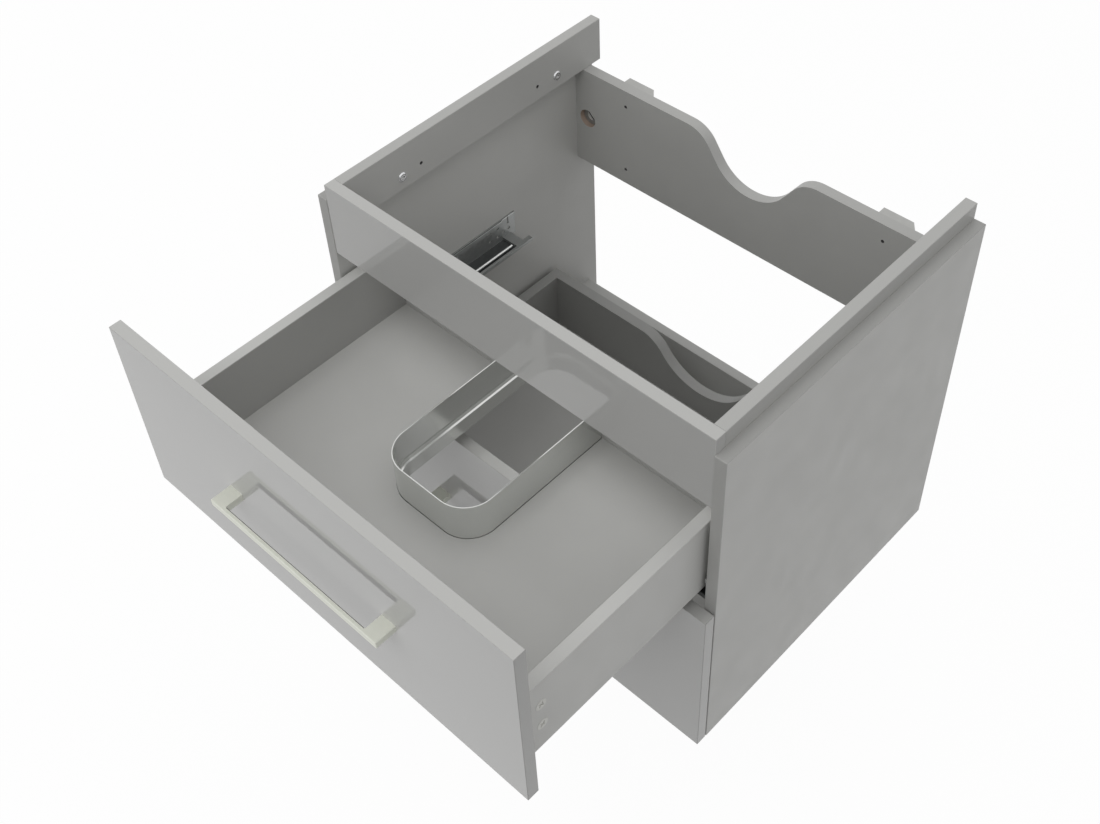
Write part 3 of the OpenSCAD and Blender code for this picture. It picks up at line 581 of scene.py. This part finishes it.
def drawer_finishes(box_board):
    """Finishes of the drawers' nodes that have one of their own."""
    front_lacquer = lacquer("gloss_lacquer", FRONT_LIGHT_AND_SHADE)
    lower_box_board = satin_board("lower_box_board")
    cam_plastic = plastic("cam_plastic")
    return {
        "upper_front": front_lacquer,
        "lower_front": front_lacquer,
        "upper_side_left": satin_board("left_side_board", SIDE_LIGHT_AND_SHADE + [(RIGHT, SIDE_INNER_SHARE)]),
        "upper_side_right": satin_board("right_side_board", SIDE_LIGHT_AND_SHADE + [(LEFT, SIDE_INNER_SHARE)]),
        "upper_floor": satin_board("floor_board"),
        "upper_back_left": box_board,
        "upper_back_right": box_board,
        "upper_cams": cam_plastic,
        "lower_side_left": lower_box_board,
        "lower_side_right": lower_box_board,
        "lower_floor": satin_board("lower_floor_board"),
        "lower_back": lower_box_board,
        "lower_cams": cam_plastic,
    }


def dress_frame():
    """Gives every CAD node its own finish, or else that of its material slot."""
    by_slot = slot_finishes()
    box_board = satin_board("box_board", BOX_LIGHT_AND_SHADE)
    by_node = carcass_finishes(by_slot["galvanised_steel"], box_board) | drawer_finishes(box_board)
    for part in frame["record"]["subparts"]:
        mesh = frame["nodes"][part["node"]].data
        mesh.materials.clear()
        mesh.materials.append(by_node.get(part["node"]) or by_slot[part["material_slot"]])


# Studio
def make_camera():
    """Makes the photograph's camera the scene's."""
    data = bpy.data.cameras.new("camera")
    data.sensor_width = SENSOR_WIDTH
    data.lens = FOCAL_PIXELS * SENSOR_WIDTH / PHOTO_WIDTH
    data.shift_x = -PRINCIPAL_POINT_OFFSET[0] / PHOTO_WIDTH
    data.shift_y = PRINCIPAL_POINT_OFFSET[1] / PHOTO_WIDTH
    data.clip_start = CLIP_START
    data.clip_end = CLIP_END
    camera = bpy.data.objects.new("camera", data)
    camera.location = CAMERA_PLACE
    camera.rotation_euler = [math.radians(a) for a in CAMERA_TURN_DEGREES]
    bpy.context.scene.collection.objects.link(camera)
    bpy.context.scene.camera = camera


def seen_directly(tree):
    """1 for rays that show the background: from the camera, in gloss and through glass."""
    path = add(tree, "ShaderNodeLightPath")
    shown = maths(tree, "MAXIMUM", path.outputs["Is Camera Ray"], path.outputs["Is Glossy Ray"])
    return maths(tree, "MAXIMUM", shown, path.outputs["Is Transmission Ray"])


def make_floor():
    """A plain floor that is nearly white where it is seen and grey for the light that it throws back."""
    square = ((-1, -1), (1, -1), (1, 1), (-1, 1))
    corners = [(x * FLOOR_HALF, y * FLOOR_HALF, -FLOOR_DROP) for x, y in square]
    mesh = bpy.data.meshes.new("floor")
    mesh.from_pydata(corners, [], [(0, 1, 2, 3)])
    floor = bpy.data.objects.new("floor", mesh)
    bpy.context.scene.collection.objects.link(floor)
    made, tree, shader, _ = material("floor")
    fill(tree, shader, {"Base Color": grey(FLOOR_BOUNCE), "Roughness": 1.0, "Specular IOR Level": 0.0})
    white = add(tree, "ShaderNodeEmission", {"Color": WHITE, "Strength": 1.0}).outputs[0]
    plain = add(tree, "ShaderNodeBsdfDiffuse", {"Color": WHITE}).outputs[0]
    share = add(tree, "ShaderNodeMixShader", {0: FLOOR_WHITE_SHARE, 1: plain, 2: white}).outputs[0]
    final = add(tree, "ShaderNodeMixShader", {0: seen_directly(tree), 1: shader.outputs[0], 2: share})
    tree.links.new(final.outputs[0], tree.nodes["Material Output"].inputs["Surface"])
    mesh.materials.append(made)


def make_world():
    """A white backdrop, with a soft sky as its light."""
    world = bpy.data.worlds.new("studio")
    world.use_nodes = True
    tree = world.node_tree
    backdrop = tree.nodes["Background"]
    fill(tree, backdrop, {"Color": WHITE, "Strength": 1.0})
    height = axes(tree, add(tree, "ShaderNodeTexCoord").outputs["Generated"])["Z"]
    strength = spread(tree, height, WORLD_STRENGTH * HORIZON_SHARE, WORLD_STRENGTH, 0, 1)
    sky = add(tree, "ShaderNodeBackground", {"Color": WHITE, "Strength": strength})
    sockets = {0: seen_directly(tree), 1: sky.outputs[0], 2: backdrop.outputs[0]}
    mix = add(tree, "ShaderNodeMixShader", sockets)
    tree.links.new(mix.outputs[0], tree.nodes["World Output"].inputs["Surface"])
    bpy.context.scene.world = world


def make_lamps():
    """Soft area lamps around the cabinet that no gloss reflects."""
    for name, place, target, width, height, power in LAMPS:
        data = bpy.data.lights.new(name, "AREA")
        data.shape = "RECTANGLE"
        data.size = width
        data.size_y = height
        data.energy = power
        lamp = bpy.data.objects.new(name, data)
        lamp.location = place
        direction = [t - p for t, p in zip(target, place)]
        lamp.rotation_euler = Vector(direction).to_track_quat("-Z", "Y").to_euler()
        lamp.visible_glossy = False
        bpy.context.scene.collection.objects.link(lamp)


bpy.context.scene.view_settings.view_transform = "Standard"
make_camera()
dress_frame()
make_floor()
make_world()
make_lamps()
